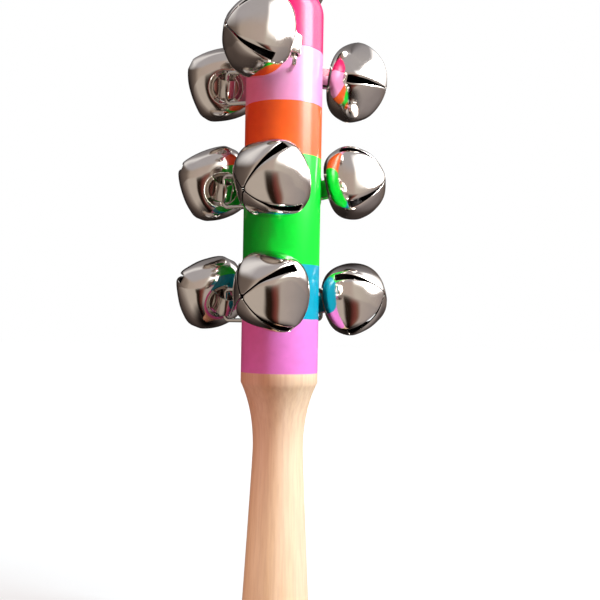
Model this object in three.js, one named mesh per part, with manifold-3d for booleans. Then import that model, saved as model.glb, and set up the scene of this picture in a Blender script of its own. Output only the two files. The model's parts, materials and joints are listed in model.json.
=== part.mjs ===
// Bell rattle: ten jingle bells stapled round a turned wooden stick.
// Millimetres, +Z up along the stick, origin at the middle of the flat butt end.
import * as THREE from "three";
import { mergeVertices, toCreasedNormals } from "three/addons/utils/BufferGeometryUtils.js";
import Module from "manifold-3d";

const wasm = await Module();
wasm.setup();

const degrees = THREE.MathUtils.degToRad(1);

// Stick: a bare handle below a painted barrel
const barrelRadius = 10;
const handleLength = 70;
const bandHeight = 13.7;
const topBandHeight = 16.8;
const topRounding = 6.5;
const collarHeight = 2.6;
const collarEase = 7;
const neckRadius = 6.55;
const neckHeight = 50.5;
const neckEase = 3.5;
const buttRadius = 9;
const buttRounding = 4;

// Paint from the handle up; the last colour covers the rest of the barrel
const paint = [
  { colour: 0xff6edc, bands: 1 },
  { colour: 0x00c8f5, bands: 1 },
  { colour: 0x05d741, bands: 2 },
  { colour: 0xff5523, bands: 1 },
  { colour: 0xff94d2, bands: 1 },
  { colour: 0xf0286e, bands: 0 },
];
const bareWood = 0xf5cdaa;

// Clearances
const fitGap = 0.3;
const ballGap = 0.6;
const stickGap = 0.35;
const loopPlay = 1.15;
const staplePlay = 1.25;

// Loop: a bent strip through two slits in the crown
const stripWidth = 4.5;
const stripThickness = 0.5;
const loopRise = 3.9;
const footLength = 1.3;

// Staple: round wire with pointed legs, wide enough for the strip
const wireDiameter = 1.1;
const stapleProud = 5.5;
const stapleDepth = 6;
const stapleBend = 1.2;
const staplePoint = 2;
const stapleInside = stripWidth + 2 * staplePlay;
const loopInside = wireDiameter + 2 * loopPlay;

// Bell: a pressed shell, dished at its crown and closed by four folded petals
const bellWidth = 21.6;
const bellDepth = 16;
const widestDepth = 6;
const shellWall = 0.5;
const squareness = 3.2;
const shoulderCurve = 1;
const slotEndWidth = 2.1;
const slotWidth = 0.56;
const slotTaper = 0.6;
const petalTipReach = 0.6;
const dishDepth = 0.95;
const dishMargin = 0.3;
const dishSlope = 0.55;
const dishRim = 0.5;

const ballDiameter = 5;

// Places: rows of three on the barrel, and one bell on the top end
const firstRow = 18.4;
const rowSpacing = 29.9;
const bells = [
  { name: "1_front", row: 2, rise: 2, azimuth: -81, short: 5, tilt: 7, spin: 2 },
  { name: "1_right", row: 2, rise: 2, azimuth: 50, short: 14, tilt: -10, spin: -36 },
  { name: "1_left", row: 2, rise: -3.6, azimuth: 168, short: 0, tilt: 22, spin: -18 },
  { name: "2_front", row: 1, rise: 2.1, azimuth: -76, short: 0, tilt: -23, spin: -3 },
  { name: "2_right", row: 1, rise: 0.9, azimuth: 49, short: 12, tilt: 12, spin: -5 },
  { name: "2_left", row: 1, rise: -1.2, azimuth: 173, short: 7, tilt: 22, spin: -26 },
  { name: "3_front", row: 0, rise: 3.4, azimuth: -73, short: 9, tilt: -10, spin: -14 },
  { name: "3_right", row: 0, rise: -0.3, azimuth: 44, short: 4, tilt: 10, spin: 14 },
  { name: "3_left", row: 0, rise: -1, azimuth: 161, short: 30, tilt: 24, spin: -26 },
  { name: "top", azimuth: -18, short: 0, tilt: 0, spin: 20 },
];

// Fineness of the facets
const stickSides = 30;
const curveSteps = 4;
const wireSides = 8;
const holeSides = 6;
const bendSteps = 3;
const petalColumns = 4;
const shoulderSteps = 4;
const domeSteps = 5;

const slitWidth = stripThickness + 2 * fitGap;
const slitLength = stripWidth + 2 * fitGap;
const slitReach = (loopInside + stripThickness + slitWidth) / 2;
const dishFloorRadius = Math.hypot(slitReach, slitLength / 2) + dishMargin;
const dishRadius = dishFloorRadius + dishSlope;
const rimRadius = dishRadius + dishRim;
const wireRadius = wireDiameter / 2;
const bandCount = paint.reduce((sum, colour) => sum + colour.bands, 0);
const stickLength = handleLength + bandCount * bandHeight + topBandHeight;

// Solids and geometries

function solidOf(geometry) {
  const bare = geometry.clone();
  bare.deleteAttribute("normal");
  bare.deleteAttribute("uv");
  const merged = mergeVertices(bare, 1e-4);
  const vertProperties = merged.attributes.position.array;
  const triVerts = new Uint32Array(merged.index.array);
  return new wasm.Manifold(new wasm.Mesh({ numProp: 3, vertProperties, triVerts }));
}

function geometryOf(solid) {
  const mesh = solid.getMesh();
  const geometry = new THREE.BufferGeometry();
  geometry.setAttribute("position", new THREE.BufferAttribute(mesh.vertProperties, 3));
  geometry.setIndex(new THREE.BufferAttribute(mesh.triVerts, 1));
  return toCreasedNormals(geometry, 35 * degrees);
}

function arc(centreX, centreY, radius, from, to, steps) {
  const points = [];
  for (let i = 0; i <= steps; i++) {
    const angle = THREE.MathUtils.lerp(from, to, i / steps);
    const x = centreX + radius * Math.cos(angle);
    const y = centreY + radius * Math.sin(angle);
    points.push(new THREE.Vector2(x, y));
  }
  return points;
}

// Stick

function paintEdges() {
  const edges = [];
  let height = handleLength;
  for (const { bands } of paint) {
    edges.push(height);
    height += bands * bandHeight;
  }
  return edges;
}

function stickProfile() {
  const point = (radius, height) => new THREE.Vector2(radius, height);
  const buttFlat = buttRadius - buttRounding;
  const topFlat = barrelRadius - topRounding;
  const collarBottom = handleLength - collarHeight;
  const butt = arc(buttFlat, buttRounding, buttRounding, -90 * degrees, 0, curveSteps);
  const flare = new THREE.QuadraticBezierCurve(
    point(buttRadius, buttRounding),
    point(neckRadius, neckHeight - neckEase),
    point(neckRadius, neckHeight),
  );
  const taper = new THREE.QuadraticBezierCurve(
    point(neckRadius, neckHeight),
    point(neckRadius, collarBottom - collarEase),
    point(barrelRadius, collarBottom),
  );
  const bandRings = paintEdges().map((height) => point(barrelRadius, height));
  const top = arc(topFlat, stickLength - topRounding, topRounding, 0, 90 * degrees, curveSteps);
  return [
    point(0, 0),
    ...butt,
    ...flare.getPoints(curveSteps).slice(1),
    ...taper.getPoints(curveSteps).slice(1),
    ...bandRings,
    ...top,
    point(0, stickLength),
  ];
}

// Paint is a colour on the wood, so each facet takes the colour of its height
function paintStick(geometry) {
  const position = geometry.attributes.position;
  const colours = new Float32Array(position.count * 3);
  const edges = paintEdges();
  const colour = new THREE.Color();
  for (let first = 0; first < position.count; first += 3) {
    const heights = [0, 1, 2].map((corner) => position.getZ(first + corner));
    const middle = (heights[0] + heights[1] + heights[2]) / 3;
    const band = edges.filter((edge) => edge < middle).length - 1;
    colour.set(band < 0 ? bareWood : paint[band].colour);
    for (const corner of [0, 1, 2]) {
      colour.toArray(colours, (first + corner) * 3);
    }
  }
  geometry.setAttribute("color", new THREE.BufferAttribute(colours, 3));
  return geometry;
}

// The frame of one staple: X out of the wood, Z along the crossbar, origin in its middle
function stapleFrame(bell) {
  const frame = new THREE.Group();
  const around = bell.azimuth * degrees;
  const side = new THREE.Vector3(Math.cos(around), Math.sin(around), 0);
  const up = new THREE.Vector3(0, 0, 1);
  const onTop = bell.row === undefined;
  const outward = onTop ? up : side;
  const crossbar = onTop ? side : up;
  const across = crossbar.clone().cross(outward);
  const surface = onTop ? stickLength : barrelRadius;
  frame.quaternion.setFromRotationMatrix(new THREE.Matrix4().makeBasis(outward, across, crossbar));
  frame.position.copy(outward).multiplyScalar(surface + stapleProud);
  if (!onTop) {
    frame.position.z = handleLength + firstRow + bell.row * rowSpacing + bell.rise;
  }
  frame.updateMatrixWorld(true);
  return frame;
}

function legHoles() {
  const depth = stapleDepth + fitGap;
  const mouth = wireDiameter;
  const radius = (wireRadius + fitGap) / Math.cos(Math.PI / holeSides);
  const hole = new THREE.CylinderGeometry(radius, radius, depth + mouth, holeSides);
  hole.rotateZ(90 * degrees);
  hole.translate(-stapleProud - (depth - mouth) / 2, 0, 0);
  const legPlace = (stapleInside + wireDiameter) / 2;
  return [-legPlace, legPlace].map((z) => hole.clone().translate(0, 0, z));
}

function stickGeometry() {
  const lathed = new THREE.LatheGeometry(stickProfile(), stickSides);
  lathed.rotateX(90 * degrees);
  let solid = solidOf(lathed);
  for (const bell of bells) {
    const frame = stapleFrame(bell);
    for (const hole of legHoles()) {
      solid = solid.subtract(solidOf(hole.applyMatrix4(frame.matrixWorld)));
    }
  }
  return paintStick(geometryOf(solid));
}

// Staple: rings of points along the bent wire, closed by a point at each leg's end

function stapleStations() {
  const reach = -stapleProud - stapleDepth;
  const leg = (stapleInside + wireDiameter) / 2;
  const corner = leg - stapleBend;
  const side = [{ x: reach + staplePoint, z: leg, turn: 0 }];
  for (let i = 0; i <= bendSteps; i++) {
    const turn = (i / bendSteps) * 90 * degrees;
    const x = -stapleBend + stapleBend * Math.sin(turn);
    const z = corner + stapleBend * Math.cos(turn);
    side.push({ x, z, turn });
  }
  const mirrored = side.map(({ x, z, turn }) => ({ x, z: -z, turn: Math.PI - turn })).reverse();
  return [...side, ...mirrored];
}

function stapleGeometry() {
  const vertices = [];
  const faces = [];
  const stations = stapleStations();
  for (const { x, z, turn } of stations) {
    for (let k = 0; k < wireSides; k++) {
      const angle = (k / wireSides) * 2 * Math.PI;
      const aside = wireRadius * Math.cos(angle);
      const y = wireRadius * Math.sin(angle);
      vertices.push(x + aside * Math.sin(turn), y, z + aside * Math.cos(turn));
    }
  }
  for (let row = 0; row + 1 < stations.length; row++) {
    for (let k = 0; k < wireSides; k++) {
      const next = (k + 1) % wireSides;
      const [a, b] = [row * wireSides + k, row * wireSides + next];
      faces.push(a, b + wireSides, b, a, a + wireSides, b + wireSides);
    }
  }
  const tip = -stapleProud - stapleDepth;
  const [first, last] = [stations[0], stations.at(-1)];
  vertices.push(tip, 0, first.z, tip, 0, last.z);
  const tipIndex = stations.length * wireSides;
  const lastRing = tipIndex - wireSides;
  for (let k = 0; k < wireSides; k++) {
    const next = (k + 1) % wireSides;
    faces.push(tipIndex, k, next, tipIndex + 1, lastRing + next, lastRing + k);
  }
  const geometry = new THREE.BufferGeometry();
  geometry.setAttribute("position", new THREE.Float32BufferAttribute(vertices, 3));
  geometry.setIndex(faces);
  return toCreasedNormals(geometry, 50 * degrees);
}

// Bell shell, in its own frame: X from the crown's rim to the pole where the petals meet

const widestRow = 2 + shoulderSteps;

// Distance from the axis at a corner, depth below the rim, and how square the section is
function bellOutline() {
  const rows = [
    { radius: dishFloorRadius, depth: dishDepth, power: 2 },
    { radius: dishRadius, depth: shellWall / 4, power: 2 },
    { radius: rimRadius, depth: 0, power: 2 },
  ];
  const width = bellWidth / 2;
  for (let i = 1; i <= shoulderSteps; i++) {
    const along = i / shoulderSteps;
    const angle = (1 - along) * 90 * degrees;
    rows.push({
      radius: rimRadius + (width - rimRadius) * Math.cos(angle) ** shoulderCurve,
      depth: widestDepth * (1 - Math.sin(angle) ** shoulderCurve),
      power: 2 + (squareness - 2) * along,
    });
  }
  const lastAngle = Math.acos(petalTipReach / width);
  for (let i = 1; i <= domeSteps; i++) {
    const angle = (i / domeSteps) * lastAngle;
    rows.push({
      radius: width * Math.cos(angle),
      depth: widestDepth + (bellDepth - widestDepth) * Math.sin(angle),
      power: squareness,
    });
  }
  return rows;
}

// The same outline moved in by the wall
function insetOutline(rows, wall) {
  return rows.map((row, i) => {
    const before = rows[i - 1] ?? { radius: 0, depth: row.depth };
    const after = rows[i + 1] ?? { radius: 0, depth: row.depth };
    const along = new THREE.Vector2(after.radius - before.radius, after.depth - before.depth);
    along.normalize();
    const radius = Math.max(row.radius - wall * along.y, petalTipReach);
    return { radius, depth: row.depth + wall * along.x, power: row.power };
  });
}

function sectionRadius(cornerRadius, power, angle) {
  const sum = Math.abs(Math.cos(angle)) ** power + Math.abs(Math.sin(angle)) ** power;
  return (cornerRadius * 2 ** (1 / power - 0.5)) / sum ** (1 / power);
}

// Half the slot's width: a wedge from where it ends, at the widest row, towards the pole
function slotHalfWidth(row) {
  const beyond = (row - widestRow) / domeSteps;
  const taper = THREE.MathUtils.clamp(beyond / slotTaper, 0, 1);
  return THREE.MathUtils.lerp(slotEndWidth, slotWidth, taper) / 2;
}

function ringPoints({ radius, depth, power }, row) {
  const points = [];
  const slotRadius = row <= widestRow ? bellWidth / 2 : radius;
  const slotAngle = Math.asin(slotHalfWidth(Math.max(row, widestRow)) / slotRadius);
  for (let petal = 0; petal < 4; petal++) {
    for (let i = 0; i <= petalColumns; i++) {
      const across = (2 * i) / petalColumns - 1;
      const angle = petal * 90 * degrees + across * (45 * degrees - slotAngle);
      const reach = sectionRadius(radius, power, angle);
      points.push([depth, reach * Math.cos(angle), reach * Math.sin(angle)]);
    }
  }
  return points;
}

// One face of the wall: a fan at the crown, closed rings on the shoulder, four open petals
function skin(rows, vertices) {
  const faces = [];
  const perPetal = petalColumns + 1;
  const perRing = 4 * perPetal;
  const start = vertices.length;
  const tipRow = rows.length - 1;
  vertices.push([rows[0].depth, 0, 0]);
  rows.slice(0, tipRow).forEach((row, i) => vertices.push(...ringPoints(row, i)));
  const at = (row, k) => start + 1 + row * perRing + (k % perRing);
  const quad = (row, k) => {
    const [a, b, c, d] = [at(row, k), at(row, k + 1), at(row + 1, k + 1), at(row + 1, k)];
    faces.push([a, b, c], [a, c, d]);
  };
  for (let k = 0; k < perRing; k++) {
    faces.push([start, at(0, k + 1), at(0, k)]);
    for (let row = 0; row < widestRow; row++) quad(row, k);
  }
  for (let petal = 0; petal < 4; petal++) {
    const tipAngle = petal * 90 * degrees;
    const tip = vertices.length;
    const { radius, depth } = rows[tipRow];
    vertices.push([depth, radius * Math.cos(tipAngle), radius * Math.sin(tipAngle)]);
    for (let i = 0; i < petalColumns; i++) {
      const k = petal * perPetal + i;
      for (let row = widestRow; row < tipRow - 1; row++) quad(row, k);
      faces.push([at(tipRow - 1, k), at(tipRow - 1, k + 1), tip]);
    }
  }
  return faces;
}

function openShell() {
  const vertices = [];
  const rows = bellOutline();
  const outer = skin(rows, vertices);
  const count = vertices.length;
  const inner = skin(insetOutline(rows, shellWall), vertices).map(([a, b, c]) => [a, c, b]);
  const edges = new Set(outer.flatMap(([a, b, c]) => [`${a},${b}`, `${b},${c}`, `${c},${a}`]));
  const rim = [];
  for (const edge of edges) {
    const [a, b] = edge.split(",").map(Number);
    if (!edges.has(`${b},${a}`)) rim.push([b, a, a + count], [b, a + count, b + count]);
  }
  const geometry = new THREE.BufferGeometry();
  geometry.setAttribute("position", new THREE.Float32BufferAttribute(vertices.flat(), 3));
  geometry.setIndex([...outer, ...inner, ...rim].flat());
  return geometry;
}

function shellGeometry(spin) {
  let solid = solidOf(openShell().rotateX(spin * degrees));
  const slit = new THREE.BoxGeometry(4 * shellWall, slitWidth, slitLength);
  const legPlace = (loopInside + stripThickness) / 2;
  for (const side of [-1, 1]) {
    const place = slit.clone().translate(dishDepth + shellWall / 2, side * legPlace, 0);
    solid = solid.subtract(solidOf(place));
  }
  return geometryOf(solid);
}

// Loop: the strip's edge outline, extruded to the strip's width

function loopGeometry() {
  const inside = loopInside / 2;
  const outside = inside + stripThickness;
  const archCentre = inside - loopRise;
  const footTop = dishDepth + shellWall + fitGap;
  const footBottom = footTop + stripThickness;
  const outline = new THREE.Shape();
  outline.moveTo(footTop, outside + footLength);
  outline.lineTo(footTop, outside);
  outline.absarc(archCentre, 0, outside, 90 * degrees, 270 * degrees, false);
  outline.lineTo(footTop, -outside);
  outline.lineTo(footTop, -outside - footLength);
  outline.lineTo(footBottom, -outside - footLength);
  outline.lineTo(footBottom, -inside);
  outline.absarc(archCentre, 0, inside, 270 * degrees, 90 * degrees, true);
  outline.lineTo(footBottom, inside);
  outline.lineTo(footBottom, outside + footLength);
  const settings = { depth: stripWidth, bevelEnabled: false, curveSegments: curveSteps };
  return new THREE.ExtrudeGeometry(outline, settings).translate(0, 0, -stripWidth / 2);
}

// Rest places of the bells

// A tilted loop rests on the wire with its edge, so the bell hangs a little closer to it
function crownDistance(tilt) {
  const lean = Math.abs(tilt) * degrees;
  const touch = wireRadius + fitGap + (stripWidth / 2) * Math.sin(lean);
  return loopRise - touch / Math.cos(lean);
}

// Points over a bell's outside, turned by its spin and tilt, about the middle of the wire
function bellPoints({ tilt, spin }) {
  const turn = new THREE.Euler(0, -tilt * degrees, 0);
  const points = [];
  for (const { radius, depth, power } of bellOutline()) {
    for (let angle = 0; angle < 360; angle += 15) {
      const reach = sectionRadius(radius, power, (angle - spin) * degrees);
      const y = reach * Math.cos(angle * degrees);
      const z = reach * Math.sin(angle * degrees);
      points.push(new THREE.Vector3(depth + crownDistance(tilt), y, z).applyEuler(turn));
    }
  }
  return points;
}

// How far a point keeps from the stick's surface, the point given in a staple's frame
function distanceToStick(point, onTop) {
  const outward = point.x + stapleProud;
  if (!onTop) return Math.hypot(outward + barrelRadius, point.y) - barrelRadius;
  const side = Math.max(Math.hypot(point.y, point.z) - (barrelRadius - topRounding), 0);
  return Math.hypot(outward + topRounding, side) - topRounding;
}

// The swing at which a bell's shell would meet the stick, found by halving
function contactSwing(bell) {
  const points = bellPoints(bell);
  const upright = new THREE.Vector3(0, 0, 1);
  const onTop = bell.row === undefined;
  let [free, blocked] = [0, 120];
  for (let i = 0; i < 24; i++) {
    const swing = (free + blocked) / 2;
    const nearest = points.map((point) => {
      const swung = point.clone().applyAxisAngle(upright, -swing * degrees);
      return distanceToStick(swung, onTop);
    });
    if (Math.min(...nearest) > stickGap) free = swing;
    else blocked = swing;
  }
  return free;
}

const materials = {
  stick: new THREE.MeshStandardMaterial({ vertexColors: true, roughness: 0.35, metalness: 0 }),
  staple: new THREE.MeshStandardMaterial({ color: 0xb9b4ad, roughness: 0.25, metalness: 1 }),
  shell: new THREE.MeshStandardMaterial({ color: 0xc9c2ba, roughness: 0.12, metalness: 1 }),
  loop: new THREE.MeshStandardMaterial({ color: 0xbdb6ae, roughness: 0.2, metalness: 1 }),
  ball: new THREE.MeshStandardMaterial({ color: 0x9a9894, roughness: 0.4, metalness: 1 }),
};

function piece(name, geometry, material) {
  const mesh = new THREE.Mesh(geometry, material);
  mesh.name = name;
  return mesh;
}

const staple = stapleGeometry();
const loop = loopGeometry();
const ball = new THREE.IcosahedronGeometry(ballDiameter / 2, 1);

// A bell with its staple: the staple stays in the wood, the rest swings about its crossbar
function hungBell(bell) {
  const frame = stapleFrame(bell);
  frame.add(piece(`staple_${bell.name}`, staple, materials.staple));

  const swinging = new THREE.Group();
  swinging.rotation.z = -(contactSwing(bell) - bell.short) * degrees;
  const tilted = new THREE.Group();
  tilted.rotation.y = -bell.tilt * degrees;
  frame.add(swinging);
  swinging.add(tilted);

  const crown = new THREE.Group();
  crown.position.x = crownDistance(bell.tilt);
  tilted.add(crown);
  crown.add(piece(`bell_shell_${bell.name}`, shellGeometry(bell.spin), materials.shell));
  crown.add(piece(`bell_loop_${bell.name}`, loop, materials.loop));

  const inside = sectionRadius(bellWidth / 2 - shellWall, squareness, bell.spin * degrees);
  const loose = piece(`ball_${bell.name}`, ball, materials.ball);
  loose.position.set(widestDepth, 0, -(inside - ballDiameter / 2 - ballGap));
  crown.add(loose);
  return frame;
}

const rattle = new THREE.Group();
rattle.add(piece("stick", stickGeometry(), materials.stick));
for (const bell of bells) {
  rattle.add(hungBell(bell));
}

export default rattle;
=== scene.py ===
# %% [markdown]
# # A bell rattle
# The rattle is a turned wooden stick, painted in coloured bands, with ten small jingle bells.
# Each bell hangs by a bent strip from a wire staple that is driven into the wood.
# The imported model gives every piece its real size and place. It is loaded first and never moved.
# This lesson makes a finer skin for each of its pieces, paints and plates them, and lights them.
# Pieces are modelled in millimetres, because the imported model's source is, and placed in metres.

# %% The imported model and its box
import json
import math

import bmesh
import bpy
from mathutils import Matrix, Vector

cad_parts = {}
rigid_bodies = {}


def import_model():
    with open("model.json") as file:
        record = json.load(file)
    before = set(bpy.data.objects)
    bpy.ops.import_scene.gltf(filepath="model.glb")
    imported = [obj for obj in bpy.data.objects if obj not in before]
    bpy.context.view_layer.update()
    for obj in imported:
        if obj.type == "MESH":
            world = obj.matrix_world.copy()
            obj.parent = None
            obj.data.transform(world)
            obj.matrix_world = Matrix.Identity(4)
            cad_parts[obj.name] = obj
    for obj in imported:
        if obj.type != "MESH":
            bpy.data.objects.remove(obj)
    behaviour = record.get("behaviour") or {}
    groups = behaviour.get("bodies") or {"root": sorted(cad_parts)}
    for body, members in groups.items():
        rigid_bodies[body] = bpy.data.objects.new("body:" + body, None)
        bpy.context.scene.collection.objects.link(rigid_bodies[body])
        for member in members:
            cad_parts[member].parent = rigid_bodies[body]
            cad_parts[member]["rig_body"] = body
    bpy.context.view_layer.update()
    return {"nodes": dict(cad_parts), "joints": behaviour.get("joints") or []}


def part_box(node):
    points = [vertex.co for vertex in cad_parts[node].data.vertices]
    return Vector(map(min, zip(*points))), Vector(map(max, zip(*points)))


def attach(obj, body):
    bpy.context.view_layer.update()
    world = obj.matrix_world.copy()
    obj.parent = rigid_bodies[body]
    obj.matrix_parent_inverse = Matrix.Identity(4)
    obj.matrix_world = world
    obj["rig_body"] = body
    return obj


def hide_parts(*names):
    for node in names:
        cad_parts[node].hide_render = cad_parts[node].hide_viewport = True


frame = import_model()
millimetre = 0.001
degree = math.pi / 180
bells = [name[len("bell_shell_"):] for name in frame["nodes"] if name.startswith("bell_shell_")]
print(f"{len(frame['nodes'])} nodes, of which {len(bells)} are bell shells")

# %% [markdown]
# ## The camera
# The picture was taken from close by, level with the upper handle, so the bells near the lens
# look larger than those behind. A lens of 52 mm at 227 mm from the stick gives that perspective.
# The stick leans a degree to the right there. Turning the camera by a degree does the same.
# The picture isn't centred on the point that the camera faces, so a small lens shift frames it.

# %% Camera at the photograph's place
camera_distance = 227 * millimetre
camera_height = 82.3 * millimetre
lens_focal_pixels = 870
frame_pixels = 600
faced_pixel = (279.9, 325.0)
camera_roll = 1.014 * degree

lens = bpy.data.cameras.new("camera")
lens.lens = lens.sensor_width * lens_focal_pixels / frame_pixels
lens.shift_x = 0.5 - faced_pixel[0] / frame_pixels
lens.shift_y = faced_pixel[1] / frame_pixels - 0.5
lens.clip_start = 0.01
camera = bpy.data.objects.new("camera", lens)
camera.location = (0, -camera_distance, camera_height)
camera.rotation_euler = (90 * degree, -camera_roll, 0)
bpy.context.scene.collection.objects.link(camera)
bpy.context.scene.camera = camera
bpy.context.scene.view_settings.view_transform = "Standard"
print(f"lens {lens.lens:.1f} mm, shift {lens.shift_x:.4f}, {lens.shift_y:.4f}")

# %% [markdown]
# ## Tools for modelling
# Operators act on what is selected, so every piece starts with nothing selected, and vertices
# are then picked by their place. The helpers below are what a hand does with the mouse: start
# a piece, pick, push on from there, and finish.

# %% Starting a piece
def start_fresh():
    """Leaves edit mode and selects nothing."""
    if bpy.context.object and bpy.context.object.mode != "OBJECT":
        bpy.ops.object.mode_set(mode="OBJECT")
    bpy.ops.object.select_all(action="DESELECT")


def start_shape(name):
    """Names the primitive that was just added, puts its place in its mesh, and opens it."""
    shape = bpy.context.object
    shape.name = name
    bpy.ops.object.transform_apply(location=True, rotation=True, scale=True)
    bpy.ops.object.mode_set(mode="EDIT")
    return shape


# %% Selecting by place
touching = 0.001


def near(a, b):
    """True for two measures that are the same but for rounding."""
    return abs(a - b) < touching


def picked():
    """The places of the selected vertices."""
    mesh = bmesh.from_edit_mesh(bpy.context.object.data)
    return [vertex.co.copy() for vertex in mesh.verts if vertex.select]


def pick(wanted):
    """Selects the vertices whose place passes the test, and what lies between them."""
    bpy.ops.mesh.select_mode(type="VERT")
    bpy.ops.mesh.select_all(action="DESELECT")
    data = bpy.context.object.data
    mesh = bmesh.from_edit_mesh(data)
    for vertex in mesh.verts:
        vertex.select = bool(wanted(vertex.co))
    mesh.select_flush(True)
    bmesh.update_edit_mesh(data)
    return len(picked())


# %% Pushing on, and finishing
def push_on(x=0, z=0):
    """Extrudes what is picked and moves it on."""
    bpy.ops.mesh.extrude_region_move(TRANSFORM_OT_translate={"value": (x, 0, z)})


def finish_shape(shape, sharp_angle):
    """Welds the seams, turns the faces outwards and shades the piece."""
    bpy.ops.object.mode_set(mode="EDIT")
    bpy.ops.mesh.select_all(action="SELECT")
    bpy.ops.mesh.remove_doubles(threshold=touching)
    bpy.ops.mesh.normals_make_consistent(inside=False)
    bpy.ops.object.mode_set(mode="OBJECT")
    shape.select_set(True)
    bpy.ops.object.shade_smooth_by_angle(angle=sharp_angle * degree)
    print(f"{shape.name}: {len(shape.data.polygons)} faces")


# %% [markdown]
# ## The stick
# A lathe turned the real stick: a rounded butt, a handle that narrows to a neck, a flare up to
# the barrel and a rounded top. A Bezier curve with the Screw modifier could make it, but half an
# outline that is drawn point by point and spun round Z is nearer to what the lathe did.
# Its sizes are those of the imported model's source.

# %% Half the outline of the stick
barrel_radius = 10
handle_length = 70
band_heights = [13.7, 13.7, 27.4, 13.7, 13.7, 16.8]
top_rounding = 6.5
collar_height = 2.6
collar_ease = 7
neck_radius = 6.55
neck_height = 50.5
neck_ease = 3.5
butt_radius = 9
butt_rounding = 4
stick_length = handle_length + sum(band_heights)
band_edges = [handle_length + sum(band_heights[:i]) for i in range(len(band_heights))]
collar_bottom = handle_length - collar_height


def arc(x, z, radius, start, end, steps):
    angles = [start + (end - start) * i / steps for i in range(steps + 1)]
    return [(x + radius * math.cos(a * degree), z + radius * math.sin(a * degree)) for a in angles]


def bent_line(start, pull, end, steps):
    """Points from start to end on a curve that a middle point pulls aside."""
    points = []
    for step in range(1, steps + 1):
        t = step / steps
        a, b, c = (1 - t) ** 2, 2 * t * (1 - t), t * t
        points.append(tuple(a * p + b * q + c * r for p, q, r in zip(start, pull, end)))
    return points


handle_start = (butt_radius, butt_rounding)
handle_pull = (neck_radius, neck_height - neck_ease)
neck = (neck_radius, neck_height)
flare_pull = (neck_radius, collar_bottom - collar_ease)
flare_end = (barrel_radius, collar_bottom)
outline = [
    (0, 0),
    *arc(butt_radius - butt_rounding, butt_rounding, butt_rounding, -90, 0, 8),
    *bent_line(handle_start, handle_pull, neck, 18),
    *bent_line(neck, flare_pull, flare_end, 14),
    *[(barrel_radius, edge) for edge in band_edges],
    *arc(barrel_radius - top_rounding, stick_length - top_rounding, top_rounding, 0, 90, 12),
    (0, stick_length),
]
print(f"outline of {len(outline)} points, {stick_length:.1f} mm high")

# %% The outline drawn and spun
start_fresh()
bpy.ops.mesh.primitive_plane_add(size=1)
stick = start_shape("painted_stick")
bpy.ops.mesh.merge(type="CENTER")
for (x0, z0), (x1, z1) in zip(outline, outline[1:]):
    push_on(x=x1 - x0, z=z1 - z0)
bpy.ops.mesh.select_all(action="SELECT")
bpy.ops.mesh.spin(steps=96, angle=360 * degree, center=(0, 0, 0), axis=(0, 0, 1))
bpy.ops.object.mode_set(mode="OBJECT")
finish_shape(stick, 40)

# %% [markdown]
# ## The staples
# A staple is round wire, bent twice and cut to points. A curve with a bevel would give the wire,
# but not its points. So a circle is pushed along the leg, spun round each bend and pushed on,
# as the wire itself is drawn and bent. Its crossbar's middle is at the origin, X points out of
# the wood and Z runs along the crossbar.

# %% One staple
wire_diameter = 1.1
staple_proud = 5.5
staple_depth = 6
staple_bend = 1.2
staple_point = 2
staple_inside = 7
leg_place = (staple_inside + wire_diameter) / 2


def bend_round(x, z, angle, steps):
    """Spins what is picked round a line along Y, as wire and strip are bent round a pin."""
    bpy.ops.mesh.spin(steps=steps, angle=angle * degree, center=(x, 0, z), axis=(0, 1, 0))


def model_staple():
    start_fresh()
    straight = staple_proud + staple_depth - staple_point - staple_bend
    leg_end = -staple_bend - straight
    bpy.ops.mesh.primitive_circle_add(
        vertices=20,
        radius=wire_diameter / 2,
        location=(leg_end, 0, -leg_place),
        rotation=(0, 90 * degree, 0),
    )
    staple = start_shape("staple")
    push_on(x=straight)
    bend = leg_place - staple_bend
    bend_round(-staple_bend, -bend, 90, steps=8)
    push_on(z=2 * bend)
    bend_round(-staple_bend, bend, 90, steps=8)
    push_on(x=-straight)
    pick(lambda co: near(co.x, leg_end))
    push_on(x=-staple_point)
    for side in (-leg_place, leg_place):
        pick(lambda co: co.x < leg_end - staple_point / 2 and abs(co.z - side) < wire_diameter)
        bpy.ops.mesh.merge(type="CENTER")
    bpy.ops.object.mode_set(mode="OBJECT")
    finish_shape(staple, 50)
    return staple


staple_model = model_staple()
print(f"staple {tuple(round(size, 2) for size in staple_model.dimensions)} mm")

# %% [markdown]
# ## The loops
# A loop is a strip of the shells' metal, bent over the wire, put through two slits in the crown
# and spread below it. Its section is a rectangle that is pushed and spun through every bend.
# The strip's edges were cut by a press, so a narrow bevel then takes their sharpness off.
# The loop stands on the bell's axis, Z, with the crown's rim at height zero.

# %% One loop
strip_width = 4.5
strip_thickness = 0.5
strip_bend = 0.35
strip_edge = 0.09
loop_rise = 3.9
loop_play = 1.15
loop_inside = wire_diameter + 2 * loop_play
foot_length = 1.3
shell_wall = 0.5
dish_depth = 0.95
fit_gap = 0.3


def apply_modifier(shape, kind, **settings):
    modifier = shape.modifiers.new(kind.lower(), kind)
    for setting, value in settings.items():
        setattr(modifier, setting, value)
    bpy.context.view_layer.objects.active = shape
    bpy.ops.object.modifier_apply(modifier=modifier.name)


def round_edges(shape, width, sharp_angle):
    apply_modifier(
        shape,
        "BEVEL",
        width=width,
        segments=2,
        limit_method="ANGLE",
        angle_limit=sharp_angle * degree,
    )


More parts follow.
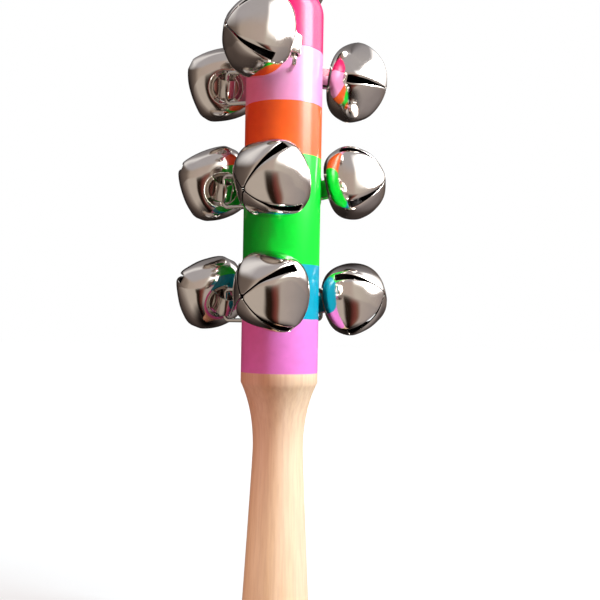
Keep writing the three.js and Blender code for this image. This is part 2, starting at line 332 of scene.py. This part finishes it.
def model_loop():
    start_fresh()
    leg = (loop_inside + strip_thickness) / 2
    foot = dish_depth + shell_wall + fit_gap + strip_thickness / 2
    arch = loop_inside / 2 - loop_rise
    turn = strip_bend + strip_thickness / 2
    tip = leg + strip_thickness / 2 + foot_length
    bpy.ops.mesh.primitive_plane_add(size=1, location=(tip, 0, foot), rotation=(0, 90 * degree, 0))
    bpy.context.object.scale = (strip_thickness, strip_width, 1)
    loop = start_shape("loop")
    bpy.ops.mesh.delete(type="ONLY_FACE")
    bpy.ops.mesh.select_all(action="SELECT")
    push_on(x=leg + turn - tip)
    bend_round(leg + turn, foot - turn, 90, steps=4)
    push_on(z=arch - foot + turn)
    bend_round(0, arch, -180, steps=18)
    push_on(z=foot - turn - arch)
    bend_round(-leg - turn, foot - turn, 90, steps=4)
    push_on(x=leg + turn - tip)
    for side in (-tip, tip):
        pick(lambda co: near(co.x, side))
        bpy.ops.mesh.edge_face_add()
    bpy.ops.object.mode_set(mode="OBJECT")
    round_edges(loop, strip_edge, 60)
    finish_shape(loop, 40)
    return loop


loop_model = model_loop()
print(f"loop {tuple(round(size, 2) for size in loop_model.dimensions)} mm")

# %% [markdown]
# ## The bell shells
# A jingle bell is pressed from one round of sheet: a dished crown, a shoulder, and four petals
# that are folded in until their tips nearly meet. Between them lie four slots, each a wedge that
# ends square at the bell's widest ring. The section there is a circle with four soft corners.
#
# A boolean could cut the slots, but it leaves thin faces, and polished metal shows each of them.
# A coarse cage with a Subdivision Surface bends as smoothly as the sheet does. Twelve columns of
# faces go round it, and it stands on its crown, so its petals point up. The edges that run up
# its four corners are bevelled into three strips each, and the middle strips are deleted past the
# widest ring, which opens the slots. Wall and rounded edges come last. A vertex group marks the
# petals, because they alone are bent a little later, when each bell gets its own mesh.

# %% The cage of a shell, standing on its crown
bell_radius = 10.93
bell_depth = 15.75
widest = 6
flatness = 0.9
tip_reach = 0.75
rim_radius = 4.92
dish_radius = 4.42
dish_edge_depth = 0.12
dish_floor_radius = 3.87
dish_middle = 0.8
shoulder_rings = 4
dome_rings = 6


def next_ring(radius, height, rounding=0):
    """Extrudes the picked ring round Z to a height and a reach, and makes it rounder."""
    push_on(z=height - picked()[0].z)
    if rounding:
        bpy.ops.transform.tosphere(value=rounding, center_override=(0, 0, height))
    share = radius / max(place.xy.length for place in picked())
    bpy.ops.transform.resize(value=(share, share, 1), center_override=(0, 0, height))


def shell_cage():
    start_fresh()
    bpy.ops.mesh.primitive_circle_add(vertices=12, radius=bell_radius, location=(0, 0, widest))
    cage = start_shape("shell")
    pick(lambda co: not near(co.x, 0) and not near(co.y, 0))
    bpy.ops.transform.resize(value=(flatness, flatness, 1), center_override=(0, 0, widest))
    pick(lambda co: True)
    last = math.acos(tip_reach / bell_radius)
    for ring in range(1, dome_rings + 1):
        angle = last * ring / dome_rings
        height = widest + (bell_depth - widest) * math.sin(angle)
        next_ring(bell_radius * math.cos(angle), height)
    pick(lambda co: near(co.z, widest))
    for ring in range(1, shoulder_rings + 1):
        angle = 90 * degree * ring / shoulder_rings
        radius = rim_radius + (bell_radius - rim_radius) * math.cos(angle)
        height = widest * (1 - math.sin(angle))
        next_ring(radius, height, rounding=1 / (shoulder_rings + 1 - ring))
    next_ring(dish_radius, dish_edge_depth)
    next_ring(dish_floor_radius, dish_depth)
    next_ring(dish_floor_radius * dish_middle, dish_depth)
    bpy.ops.mesh.edge_face_add()
    return cage


cage = shell_cage()
print(f"cage of {len(bmesh.from_edit_mesh(cage.data).faces)} faces")

# %% Slots along the corners
strip_percent = 34
middle_strip = 0.08


def pick_edges(wanted):
    bpy.ops.mesh.select_mode(type="EDGE")
    bpy.ops.mesh.select_all(action="DESELECT")
    data = bpy.context.object.data
    for edge in bmesh.from_edit_mesh(data).edges:
        edge.select = bool(wanted(edge.verts[0].co, edge.verts[1].co))
    bmesh.update_edit_mesh(data)


def pick_faces(wanted):
    bpy.ops.mesh.select_mode(type="FACE")
    bpy.ops.mesh.select_all(action="DESELECT")
    data = bpy.context.object.data
    for face in bmesh.from_edit_mesh(data).faces:
        face.select = bool(wanted(face.calc_center_median()))
    bmesh.update_edit_mesh(data)


def on_corner(a, b):
    """True for an edge that runs up a corner, in the plane X = 0 or Y = 0."""
    return (near(a.x, 0) and near(b.x, 0)) or (near(a.y, 0) and near(b.y, 0))


def reach_at(height):
    """How far the shell's corners reach at a height past the widest ring."""
    share = min(1, max(0, (height - widest) / (bell_depth - widest)))
    return max(tip_reach, bell_radius * math.sqrt(1 - share * share))


def in_slot(co):
    """True for a face's middle that lies past the widest ring, on a corner's middle strip."""
    aside = min(abs(co.x), abs(co.y))
    return co.z > widest + touching and aside < middle_strip * reach_at(co.z)


pick_edges(on_corner)
bpy.ops.mesh.bevel(offset_type="PERCENT", offset_pct=strip_percent, segments=3, affect="EDGES")
pick_faces(in_slot)
bpy.ops.mesh.delete(type="FACE")
print(f"{len(bmesh.from_edit_mesh(cage.data).faces)} faces once the slots are open")

# %% The slots' edges in their places
slot_end_half = 1.05
slot_half = 0.2
slot_taper = 0.66
slot_curve = 1.2
petal_rim = 0.7
rim_hold = 1.4
edge_curl = 0.38
curl_hold = 1.5
inner_columns = (0, 0.13)
outer_columns = (0.13, 0.4)


def slot_half_at(height):
    """The slot is narrow near the pole and widens from there to its square end."""
    angle = math.asin(min(1, max(0, (height - widest) / (bell_depth - widest))))
    share = min(1, angle / (90 * degree * slot_taper)) ** slot_curve
    return slot_end_half + (slot_half - slot_end_half) * share


def ring_heights():
    mesh = bmesh.from_edit_mesh(bpy.context.object.data)
    return sorted({round(vertex.co.z, 3) for vertex in mesh.verts})


def place_columns(height, slopes, outward, aside):
    """Moves the columns at these slopes aside from a corner: out along the corner, and apart."""
    for along, across in (("x", "y"), ("y", "x")):
        def in_column(co):
            slope = abs(getattr(co, across)) / max(touching, abs(getattr(co, along)))
            return slopes[0] < slope < slopes[1] and abs(co.z - height) < 2 * touching
        if not pick(in_column):
            continue
        far = outward / max(abs(getattr(place, along)) for place in picked())
        apart = aside / max(abs(getattr(place, across)) for place in picked())
        size = {along: far, across: apart}
        bpy.ops.transform.resize(value=(size["x"], size["y"], 1), center_override=(0, 0, height))


def place_slot_edges():
    """The outer columns carry the corner's reach, and the inner ones, the slots' edges, curl in."""
    for height in [h for h in ring_heights() if h > widest - 2 * touching]:
        radius = reach_at(height)
        half = slot_half_at(height)
        curl = edge_curl * min(1, radius / bell_radius * curl_hold)
        rim = half + petal_rim * min(1, radius / bell_radius * rim_hold)
        place_columns(height, outer_columns, math.sqrt(radius * radius - rim * rim), rim)
        place_columns(height, inner_columns, radius - curl, half)


place_slot_edges()
print(f"slots from {2 * slot_half} mm wide at the pole to {2 * slot_end_half} mm at their ends")

# %% From the cage to a smooth sheet
slot_corner_crease = 0.75


def at_slot_end(co):
    return near(co.z, widest) and min(abs(co.x), abs(co.y)) < slot_end_half + petal_rim / 2


pick(at_slot_end)
bpy.ops.transform.vert_crease(value=slot_corner_crease)
bpy.ops.object.mode_set(mode="OBJECT")
apply_modifier(cage, "SUBSURF", levels=2, render_levels=2)
finish_shape(cage, 60)
places = [vertex.co for vertex in cage.data.vertices]
low, high = min(co.z for co in places), max(co.z for co in places)
wide = max(co.xy.length for co in places)
flat = max(abs(co.x + co.y) / math.sqrt(2) for co in places)
print(f"sheet from {low:.2f} to {high:.2f} mm, reach {wide:.2f} mm, {2 * flat:.2f} mm over flats")

# %% Wall thickness and rounded edges
wall_edge = 0.1
fold_start = 3

shell_model = cage
petals = shell_model.vertex_groups.new(name="petals")
for vertex in shell_model.data.vertices:
    folded = min(1, max(0, vertex.co.z / fold_start - 1))
    petals.add([vertex.index], folded, "REPLACE")
for finish in ("nickel plate", "shell inside painted shade"):
    shell_model.data.materials.append(bpy.data.materials.new(finish))
apply_modifier(
    shell_model,
    "SOLIDIFY",
    thickness=shell_wall,
    offset=-1,
    use_even_offset=True,
    material_offset=1,
)
round_edges(shell_model, wall_edge, 50)
shell_model.select_set(True)
bpy.ops.object.shade_smooth_by_angle(angle=50 * degree)
print(f"shell of {len(shell_model.data.polygons)} faces")

# %% [markdown]
# ## The balls
# Inside each bell rolls a steel ball. A sphere primitive crowds its faces at two poles. A cube
# that is subdivided and drawn to a sphere has even faces. A tumbled ball has small flats, so
# the faces at its top are pressed in a little.

# %% One ball
ball_diameter = 5
flat_height = 2.45
flat_depth = 0.05


def model_ball():
    start_fresh()
    bpy.ops.mesh.primitive_cube_add(size=ball_diameter)
    ball = start_shape("ball")
    bpy.ops.mesh.subdivide(number_cuts=7)
    bpy.ops.transform.tosphere(value=1, center_override=(0, 0, 0))
    share = ball_diameter / 2 / max(place.length for place in picked())
    bpy.ops.transform.resize(value=(share, share, share), center_override=(0, 0, 0))
    pick(lambda co: co.z > flat_height)
    bpy.ops.transform.translate(value=(0, 0, -flat_depth))
    bpy.ops.object.mode_set(mode="OBJECT")
    finish_shape(ball, 60)
    return ball


ball_model = model_ball()

# %% [markdown]
# ## Where each piece goes
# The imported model's hinges already say where each staple's crossbar is and which way it points.
# A bell's axis runs from the crossbar's middle through the middle of its packed shell, and its
# crown's rim is where that shell comes nearest. So nothing has to be measured by eye.
# How far each bell is turned on its own axis is the only list that is repeated here.

# %% Frames of the staples and of the bells
turned = {
    "1_front": 2, "1_right": -36, "1_left": -18,
    "2_front": -3, "2_right": -5, "2_left": -26,
    "3_front": -14, "3_right": 14, "3_left": -26,
    "top": 20,
}
hinges = {joint["name"]: joint for joint in frame["joints"]}


def matrix_of(x_axis, y_axis, z_axis, place):
    """Turns a model's axes to the given ones, scales it to metres and moves it to its place."""
    turn = Matrix((x_axis, y_axis, z_axis)).transposed().to_4x4()
    return Matrix.Translation(place) @ turn @ Matrix.Scale(millimetre, 4)


def crossbar_of(bell):
    """The middle of a staple's crossbar and the way that it points."""
    hinge = hinges["swing_" + bell]
    return Vector(hinge["pos_m"]), Vector(hinge["axis"])


def staple_place(bell):
    middle, crossbar = crossbar_of(bell)
    from_axis = Vector((middle.x, middle.y, 0))
    outward = from_axis.normalized() if from_axis.length > millimetre else Vector((0, 0, 1))
    return matrix_of(outward, crossbar.cross(outward), crossbar, middle)


def bell_place(bell):
    middle, crossbar = crossbar_of(bell)
    packed = frame["nodes"]["bell_shell_" + bell].data.vertices
    corners = {tuple(round(x, 6) for x in vertex.co) for vertex in packed}
    axis = (sum(map(Vector, corners), Vector()) / len(corners) - middle).normalized()
    across_legs = crossbar.cross(axis).normalized()
    crown = min((vertex.co - middle).dot(axis) for vertex in packed)
    return matrix_of(across_legs, axis.cross(across_legs), axis, middle + crown * axis)


for bell in bells:
    place = bell_place(bell)
    print(bell, "crown at", tuple(round(x / millimetre, 1) for x in place.translation), "mm")

# %% Copies, each with a mesh of its own
dent_size = 5
dent_strength = 0.28


def put(model, node, place):
    """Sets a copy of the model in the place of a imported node."""
    piece = model.copy()
    piece.data = model.data.copy()
    piece.name = "fine_" + node
    piece.data.transform(place)
    bpy.context.scene.collection.objects.link(piece)
    piece.select_set(False)
    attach(piece, frame["nodes"][node]["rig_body"])
    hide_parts(node)
    return piece


unevenness = bpy.data.textures.new("uneven pressing", "CLOUDS")
unevenness.cloud_type = "COLOR"
unevenness.noise_scale = dent_size * millimetre
unevenness.noise_depth = 0


def bend_unevenly(shell):
    """Petals are folded on a worn tool, so each bell comes out a little different."""
    apply_modifier(
        shell,
        "DISPLACE",
        texture=unevenness,
        direction="RGB_TO_XYZ",
        texture_coords="GLOBAL",
        vertex_group="petals",
        strength=dent_strength * millimetre,
    )


shells, loops, staples, balls = [], [], [], []
for bell in bells:
    place = bell_place(bell)
    spin = Matrix.Rotation((45 + turned[bell]) * degree, 4, "Z")
    shells.append(put(shell_model, "bell_shell_" + bell, place @ spin))
    loops.append(put(loop_model, "bell_loop_" + bell, place))
    staples.append(put(staple_model, "staple_" + bell, staple_place(bell)))
    low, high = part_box("ball_" + bell)
    ball_place = Matrix.Translation((low + high) / 2) @ Matrix.Scale(millimetre, 4)
    balls.append(put(ball_model, "ball_" + bell, ball_place))
    bend_unevenly(shells[-1])
stick_piece = put(stick, "stick", Matrix.Scale(millimetre, 4))
for model in (shell_model, loop_model, staple_model, ball_model, stick):
    bpy.data.objects.remove(model)
groups = {"bell_shell": shells, "bell_loop": loops, "staple": staples, "ball": balls}
print(sum(map(len, groups.values())) + 1, "pieces in place")

# %% [markdown]
# ## Materials
# Every finish is a tree of nodes. The helper below adds a node, sets its sockets and links what
# it is given, so that a material reads from its texture down to its shader.

# %% A helper for node trees
class Tree:
    """Builds the nodes of a material, or of the world, one call at a time."""

    def __init__(self, owner):
        owner.use_nodes = True
        self.owner = owner
        self.tree = owner.node_tree
        self.tree.nodes.clear()

    def add(self, kind, sockets=None, **settings):
        node = self.tree.nodes.new(kind)
        for setting, value in settings.items():
            setattr(node, setting, value)
        for socket, value in (sockets or {}).items():
            if isinstance(value, bpy.types.NodeSocket):
                self.tree.links.new(value, node.inputs[socket])
            else:
                node.inputs[socket].default_value = value
        return node

    def reckon(self, operation, first, second):
        node = self.add("ShaderNodeMath", {0: first, 1: second}, operation=operation)
        return node.outputs[0]

    def ramp(self, factor, stops, interpolation="LINEAR"):
        node = self.add("ShaderNodeValToRGB", {"Fac": factor})
        node.color_ramp.interpolation = interpolation
        while len(node.color_ramp.elements) < len(stops):
            node.color_ramp.elements.new(1)
        for element, (position, colour) in zip(node.color_ramp.elements, stops):
            element.position = position
            element.color = (*colour, 1)
        return node.outputs["Color"]

    def noise(self, place, scale, detail=3.0, roughness=0.5):
        sockets = {"Vector": place, "Scale": scale, "Detail": detail, "Roughness": roughness}
        return self.add("ShaderNodeTexNoise", sockets).outputs["Fac"]

    def stretched(self, scale):
        """Object coordinates in metres, times a scale for each axis."""
        place = self.add("ShaderNodeTexCoord").outputs["Object"]
        return self.add("ShaderNodeMapping", {"Vector": place, "Scale": scale}).outputs["Vector"]

    def distance(self, place):
        node = self.add("ShaderNodeVectorMath", {0: place}, operation="LENGTH")
        return node.outputs["Value"]

    def mix(self, share, first, second, blend="MIX"):
        """The Mix node has sockets of one name for each kind of value: 6 and 7 are colours."""
        sockets = {0: share, 6: first, 7: second}
        return self.add("ShaderNodeMix", sockets, data_type="RGBA", blend_type=blend).outputs[2]

    def remap(self, value, low, high):
        """A number from 0 to 1 becomes one from low to high."""
        sockets = {"Value": value, "To Min": low, "To Max": high}
        return self.add("ShaderNodeMapRange", sockets).outputs["Result"]

    def between(self, value, start, end, kind="SMOOTHSTEP"):
        """0 at the start and 1 at the end, and held there beyond them."""
        sockets = {"Value": value, "From Min": start, "From Max": end}
        node = self.add("ShaderNodeMapRange", sockets, interpolation_type=kind)
        return node.outputs["Result"]

    def finish(self, shader):
        self.add("ShaderNodeOutputMaterial", {"Surface": shader.outputs[0]})
        return self.owner


def tree_of(name):
    """Opens the nodes of a material, which is made if there is none of that name."""
    return Tree(bpy.data.materials.get(name) or bpy.data.materials.new(name))


def linear(code):
    """A colour as screens write it, such as ff5523, in the light's own scale."""
    channels = [int(code[i:i + 2], 16) / 255 for i in (0, 2, 4)]
    return tuple(c / 12.92 if c <= 0.04045 else ((c + 0.055) / 1.055) ** 2.4 for c in channels)


# %% [markdown]
# ### Lacquer on the barrel
# The bands are sprayed or dipped lacquer: strong colours, a clear gloss, edges that waver a
# little. Images could hold the bands, but a ramp over the height puts each edge at its real
# height on any mesh. A weak noise makes the edges waver, and another mottles the colour.

# %% The painted bands
band_colours = ["ffa0ff", "00bbd8", "00fa3c", "ff742a", "ffb9ee", "fa1478"]
edge_waver = 0.1 * millimetre


def lacquer():
    tree = tree_of("lacquer")
    place = tree.stretched((1, 1, 1))
    height = tree.add("ShaderNodeSeparateXYZ", {"Vector": place}).outputs["Z"]
    waver = tree.remap(tree.noise(place, 260), -edge_waver, edge_waver)
    wavered = tree.reckon("ADD", height, waver)
    sockets = {"Value": wavered, "From Min": 0, "From Max": stick_length * millimetre}
    share = tree.add("ShaderNodeMapRange", sockets).outputs["Result"]
    stops = [(edge / stick_length, linear(code)) for edge, code in zip(band_edges, band_colours)]
    stops[0] = (0, stops[0][1])
    colour = tree.ramp(share, stops, "CONSTANT")
    mottle = tree.ramp(tree.noise(place, 420, 4), [(0.3, (0.93, 0.93, 0.93)), (0.7, (1, 1, 1))])
    mottled = tree.mix(1.0, colour, mottle, "MULTIPLY")
    grain = tree.noise(tree.stretched((500, 500, 30)), 1, 4)
    bump = tree.add("ShaderNodeBump", {"Height": grain, "Strength": 0.12, "Distance": 0.00008})
    sockets = {
        "Base Color": mottled,
        "Roughness": tree.remap(tree.noise(place, 700, 5), 0.3, 0.44),
        "Specular IOR Level": 0.05,
        "Normal": bump.outputs["Normal"],
        "Coat Weight": 0.4,
        "Coat Roughness": 0.12,
    }
    return tree.finish(tree.add("ShaderNodeBsdfPrincipled", sockets))


# %% [markdown]
# ### Bare wood
# The handle is pale, close-grained wood, sanded but not varnished. The grain is noise that is
# drawn out along the stick, with fine dark pores in it, and it bends a little as real grain does.

# %% The handle's wood
def bare_wood():
    tree = tree_of("bare wood")
    figure = tree.noise(tree.stretched((190, 190, 9)), 1, 3, 0.55)
    fibre = tree.noise(tree.stretched((1400, 1400, 40)), 1, 4, 0.6)
    base = tree.ramp(figure, [(0.3, linear("f5e4b0")), (0.7, linear("fff6ce"))])
    tint = tree.ramp(fibre, [(0.35, (0.9, 0.88, 0.85)), (0.6, (1, 1, 1))])
    bump = tree.add("ShaderNodeBump", {"Height": fibre, "Strength": 0.25, "Distance": 0.0001})
    sockets = {
        "Base Color": tree.mix(1.0, base, tint, "MULTIPLY"),
        "Roughness": tree.remap(fibre, 0.42, 0.6),
        "Normal": bump.outputs["Normal"],
    }
    return tree.finish(tree.add("ShaderNodeBsdfPrincipled", sockets))


# %% [markdown]
# ### Plated steel
# Bells, loops and staples are steel with a bright nickel plate, which is warmer than chrome.
# Fingers leave soft smears on it, so a noise varies the roughness a little, and the pressed
# sheet isn't quite even, so a long, weak bump bends the reflections.
# The inside of a shell is rough and painted near black, as painted shade, which is why the slots
# look black. Its faces have been in the second material slot since the sheet got its thickness.

# %% Nickel, and the inside painted near black as shade
def metal(name, colour, roughness, spread, waves):
    tree = tree_of(name)
    place = tree.stretched((1, 1, 1))
    smear = tree.noise(place, 240, 4, 0.6)
    long_wave = tree.noise(place, 95, 1)
    scratch = tree.noise(tree.stretched((260, 1900, 1900)), 1, 5, 0.65)
    bent = tree.add("ShaderNodeBump", {"Height": long_wave, "Strength": waves, "Distance": 0.0008})
    scratched = {
        "Height": scratch,
        "Strength": 0.04,
        "Distance": 0.00003,
        "Normal": bent.outputs["Normal"],
    }
    bright = linear(colour)
    smeared = tuple(0.94 * channel for channel in bright)
    sockets = {
        "Base Color": tree.ramp(smear, [(0.3, smeared), (0.7, bright)]),
        "Metallic": 1.0,
        "Roughness": tree.remap(smear, roughness, roughness + spread),
        "Normal": tree.add("ShaderNodeBump", scratched).outputs["Normal"],
    }
    return tree.finish(tree.add("ShaderNodeBsdfPrincipled", sockets))


def painted_shade_inside():
    tree = tree_of("shell inside painted shade")
    blotch = tree.noise(tree.stretched((1, 1, 1)), 300, 4)
    sockets = {
        # The near-black colour is painted shade inside the bell, not the steel's own colour.
        "Base Color": tree.ramp(blotch, [(0.3, linear("0d0b0a")), (0.7, linear("1a1613"))]),
        "Roughness": tree.remap(blotch, 0.7, 0.9),
        "Specular IOR Level": 0.1,
    }
    return tree.finish(tree.add("ShaderNodeBsdfPrincipled", sockets))


# %% Every piece in its finish
def paint(piece, *materials):
    """Fills the piece's slots in order. Clearing them first would send every face to slot 0."""
    slots = piece.data.materials
    for index, material in enumerate(materials):
        if index < len(slots):
            slots[index] = material
        else:
            slots.append(material)


nickel = metal("nickel plate", "e6e0da", roughness=0.07, spread=0.07, waves=0.09)
strip_metal = metal("nickel strip", "d2cbc3", roughness=0.1, spread=0.1, waves=0.03)
wire_metal = metal("bright wire", "cfcac4", roughness=0.12, spread=0.1, waves=0.02)
ball_metal = metal("ball steel", "5c5a58", roughness=0.45, spread=0.2, waves=0.02)
finishes = {
    "bell_shell": [nickel, painted_shade_inside()],
    "bell_loop": [strip_metal],
    "staple": [wire_metal],
    "ball": [ball_metal],
}
for slot, group in groups.items():
    for piece in group:
        paint(piece, *finishes[slot])
paint(stick_piece, lacquer(), bare_wood())
for face in stick_piece.data.polygons:
    face.material_index = 0 if face.center.z > handle_length * millimetre else 1
print(len(bpy.data.materials), "materials")

# %% [markdown]
# ## The studio
# The background is white for the camera and in the metal alike. Polished metal is only as good
# as what it mirrors. In the picture the bells mirror a room: warm grey walls and table, a large
# bright window on the upper right, darkness behind, and a dark shape low down in front.
# A studio sets cards round such a thing for that. Here they are one dome and one round table
# card, which show in reflections alone and don't hide the rattle from any side.
# On paint and wood the room sheds a dim, reddish light. The floor sends on very little, or the
# paint's shaded side would be as pale as its lit one.

# %% World and floor
room_glow = (0.28, 0.125, 0.115, 1)
white = (1, 1, 1, 1)
floor_shade = 0.8
floor_shade_ends = (0.1, 0.4)
floor_seen = (0.25, 0.4, 0.4, 1)
floor_sends_on = (0.12, 0.1, 0.09, 1)


def looked_at(tree):
    """1 where something is seen, mirrored or seen through, and 0 where it only sheds light."""
    path = tree.add("ShaderNodeLightPath").outputs
    looked = path["Is Camera Ray"]
    for kind in ("Is Glossy Ray", "Is Transmission Ray"):
        looked = tree.reckon("MAXIMUM", looked, path[kind])
    return looked


def white_world():
    """White where it is looked at, and a dim light of the room's colour on what is matt."""
    world = bpy.data.worlds.new("studio")
    bpy.context.scene.world = world
    tree = Tree(world)
    looked = looked_at(tree)
    sheds, shows = [
        tree.add("ShaderNodeBackground", {"Color": colour}).outputs[0]
        for colour in (room_glow, white)
    ]
    either = tree.add("ShaderNodeMixShader", {0: looked, 1: sheds, 2: shows})
    tree.add("ShaderNodeOutputWorld", {"Surface": either.outputs[0]})


def floor_material():
    """A white that glows only where it is looked at, over a matt ground that takes the shadow."""
    tree = tree_of("pale floor")
    looked = looked_at(tree)
    away = tree.distance(tree.stretched((1, 1, 1)))
    glow = tree.remap(tree.between(away, *floor_shade_ends), floor_shade, 1)
    strength = tree.reckon("MULTIPLY", looked, glow)
    shine = tree.add("ShaderNodeEmission", {"Color": white, "Strength": strength})
    ground = tree.mix(looked, floor_sends_on, floor_seen)
    matt = tree.add("ShaderNodeBsdfDiffuse", {"Color": ground})
    return tree.finish(tree.add("ShaderNodeAddShader", {0: shine.outputs[0], 1: matt.outputs[0]}))


white_world()
start_fresh()
bpy.ops.mesh.primitive_plane_add(size=6, location=(0, 0, -0.0002))
floor = bpy.context.object
floor.name = "floor"
paint(floor, floor_material())
print(f"floor {floor.dimensions.x:.0f} m wide")

# %% [markdown]
# ### The room that the metal mirrors
# A dome and a round card carry the room as soft colours round the compass. Azimuths count from
# the camera towards the right. An arctangent of X and Y gives the azimuth of each point, and a
# ramp gives its colour. The window is far brighter than the walls: it flares in the metal, and
# is bright enough to lay a pale sheen over the right half of the lacquer too. The dark shape
# stands on the table card only, and fades out towards its rim. The ceiling is a cool grey,
# with a lit patch high up on the left.

# %% Colours round the compass
wall_colours = [
    (-180, "26211f"), (-140, "2e2725"), (-110, "5a4f49"), (-82, "7c6e65"), (-58, "b8a99c"),
    (5, "c4b3a9"), (15, "d2c8bc"), (110, "a59895"), (150, "6d615a"), (172, "26211f"),
    (180, "26211f"),
]
table_colours = [
    (-180, "26211f"), (-145, "352d2a"), (-120, "5c504a"), (-98, "8d8078"), (-74, "c4b8ad"),
    (0, "c4b9ae"), (45, "b8aca6"), (80, "a89f9c"), (120, "958c8b"), (155, "4a413e"),
    (180, "26211f"),
]
shadow_colours = [
    (-26, "ffffff"), (-18, "36291f"), (-4, "33261f"), (2, "6b3c38"), (10, "a05a56"),
    (18, "b58478"), (28, "ffffff"),
]
ceiling_colours = [
    (-180, "6d6a6b"), (-145, "a09c9e"), (-120, "f6f4f4"), (-105, "f0eeee"), (-85, "b6b2b5"),
    (60, "bcb8b8"), (130, "a8a5a8"), (180, "6d6a6b"),
]
window_shares = [
    (12, 0), (22, 0.028), (42, 0.07), (53, 0.35), (59, 0.55), (64, 0.9), (85, 0.8), (92, 0.27),
    (99, 0.17), (124, 0.09), (138, 0.03), (146, 0),
]


def compass(tree, place):
    """How far round a place lies, from 0 at the back over the left to 1, and its height."""
    parts = tree.add("ShaderNodeSeparateXYZ", {"Vector": place}).outputs
    angle = tree.reckon("ARCTAN2", parts["X"], tree.reckon("MULTIPLY", parts["Y"], -1.0))
    return tree.between(angle, -math.pi, math.pi, "LINEAR"), parts["Z"]


def ramp_round(tree, share, stops):
    """A ramp whose stops are azimuths."""
    return tree.ramp(share, [((azimuth + 180) / 360, colour) for azimuth, colour in stops])


def colours_round(tree, share, stops):
    return ramp_round(tree, share, [(azimuth, linear(code)) for azimuth, code in stops])


# %% Walls, ceiling and window
ceiling_starts = (0.45, 0.7)
window_bottom = (0.2, 0.45)
window_top = (0.88, 0.7)
window_light = 46


def wall_material():
    tree = tree_of("room walls")
    share, height = compass(tree, tree.stretched((1, 1, 1)))
    walls = colours_round(tree, share, wall_colours)
    ceiling = colours_round(tree, share, ceiling_colours)
    colour = tree.mix(tree.between(height, *ceiling_starts), walls, ceiling)
    window = ramp_round(tree, share, [(azimuth, (light,) * 3) for azimuth, light in window_shares])
    from_below = tree.between(height, *window_bottom)
    from_above = tree.between(height, *window_top)
    for edge in (from_below, from_above, window_light):
        window = tree.reckon("MULTIPLY", window, edge)
    wall = tree.add("ShaderNodeEmission", {"Color": colour, "Strength": 1.0})
    light = tree.add("ShaderNodeEmission", {"Color": white, "Strength": window})
    return tree.finish(tree.add("ShaderNodeAddShader", {0: wall.outputs[0], 1: light.outputs[0]}))


room = wall_material()
print(f"{room.name}, with a window {window_light} times as bright as white")

# %% The table card
shadow_ends = (1, 0.22)
# Where the painted shadow at the stick's foot fades out, and its colour.
foot_shade_ends = (0.025, 0.1)
foot_shade_colour = (0.04, 0.03, 0.03, 1)


def table_material():
    """The table's colours, with the dark shape on them and a dark spot of painted shade where the
    stick stands.
    """
    tree = tree_of("table card")
    place = tree.stretched((1, 1, 1))
    share = compass(tree, place)[0]
    away = tree.distance(place)
    bare = colours_round(tree, share, table_colours)
    shadow = tree.mix(1.0, bare, colours_round(tree, share, shadow_colours), "MULTIPLY")
    colour = tree.mix(tree.between(away, *shadow_ends), bare, shadow)
    # A dark spot at the stick's foot: painted shadow of the stick on the mirrored table.
    foot = tree.mix(tree.between(away, *foot_shade_ends), foot_shade_colour, white)
    glow = {"Color": tree.mix(1.0, colour, foot, "MULTIPLY"), "Strength": 1.0}
    return tree.finish(tree.add("ShaderNodeEmission", glow))


# %% Dome and card in place
dome_radius = 1


def reflected_only(card, material):
    paint(card, material)
    for ray in ("camera", "diffuse", "shadow", "volume_scatter"):
        setattr(card, "visible_" + ray, False)


start_fresh()
bpy.ops.mesh.primitive_uv_sphere_add(segments=48, ring_count=24, radius=dome_radius)
dome = start_shape("room")
pick(lambda co: co.z < -touching)
bpy.ops.mesh.delete(type="VERT")
bpy.ops.object.mode_set(mode="OBJECT")
reflected_only(dome, room)
start_fresh()
bpy.ops.mesh.primitive_circle_add(vertices=48, radius=dome_radius, fill_type="NGON")
table = bpy.context.object
table.name = "table card"
table.location = (0, 0, 0.0003)
reflected_only(table, table_material())
print(f"{dome.name} and {table.name}, {2 * dome_radius} m wide")

# %% [markdown]
# ### The lamps
# A soft light on the right stands for what the window sheds on paint and wood. A wide, weak one
# above the camera softens the shadows. A red one on the left makes the paint's shaded side as
# deep in colour as the picture has it. A small, narrow one low on the left stands for what the
# white table sends up at the handle. None shows in the metal, where the dome's window does.

# %% Lamps
def around(azimuth, distance, height):
    """A place at an azimuth that counts from the camera towards the right."""
    angle = azimuth * degree
    return (distance * math.sin(angle), -distance * math.cos(angle), height)


def lamp(name, place, size, watts, colour=(1, 1, 1), aim=0.11, spread=180):
    """An area light that faces the stick's axis at the height of its aim."""
    data = bpy.data.lights.new(name, "AREA")
    data.shape = "RECTANGLE"
    data.size, data.size_y = size
    data.energy = watts
    data.color = colour
    data.spread = spread * degree
    light = bpy.data.objects.new(name, data)
    light.location = place
    away = Vector(place) - Vector((0, 0, aim))
    light.rotation_euler = away.to_track_quat("Z", "Y").to_euler()
    light.visible_glossy = False
    bpy.context.scene.collection.objects.link(light)


lamp("soft light", around(68, 0.7, 0.5), (0.12, 0.6), watts=8.8, colour=(1, 0.85, 0.92))
lamp("room light", around(-48, 0.7, 0.2), (0.4, 0.6), watts=1.5, colour=(1, 0.12, 0.14))
lamp("top light", (0.15, -0.3, 0.85), (0.7, 0.7), watts=0.1)
lamp("table light", around(-30, 0.12, 0.015), (0.04, 0.04), watts=0.006, aim=0.02, spread=60)
print(len(bpy.data.lights), "lamps")
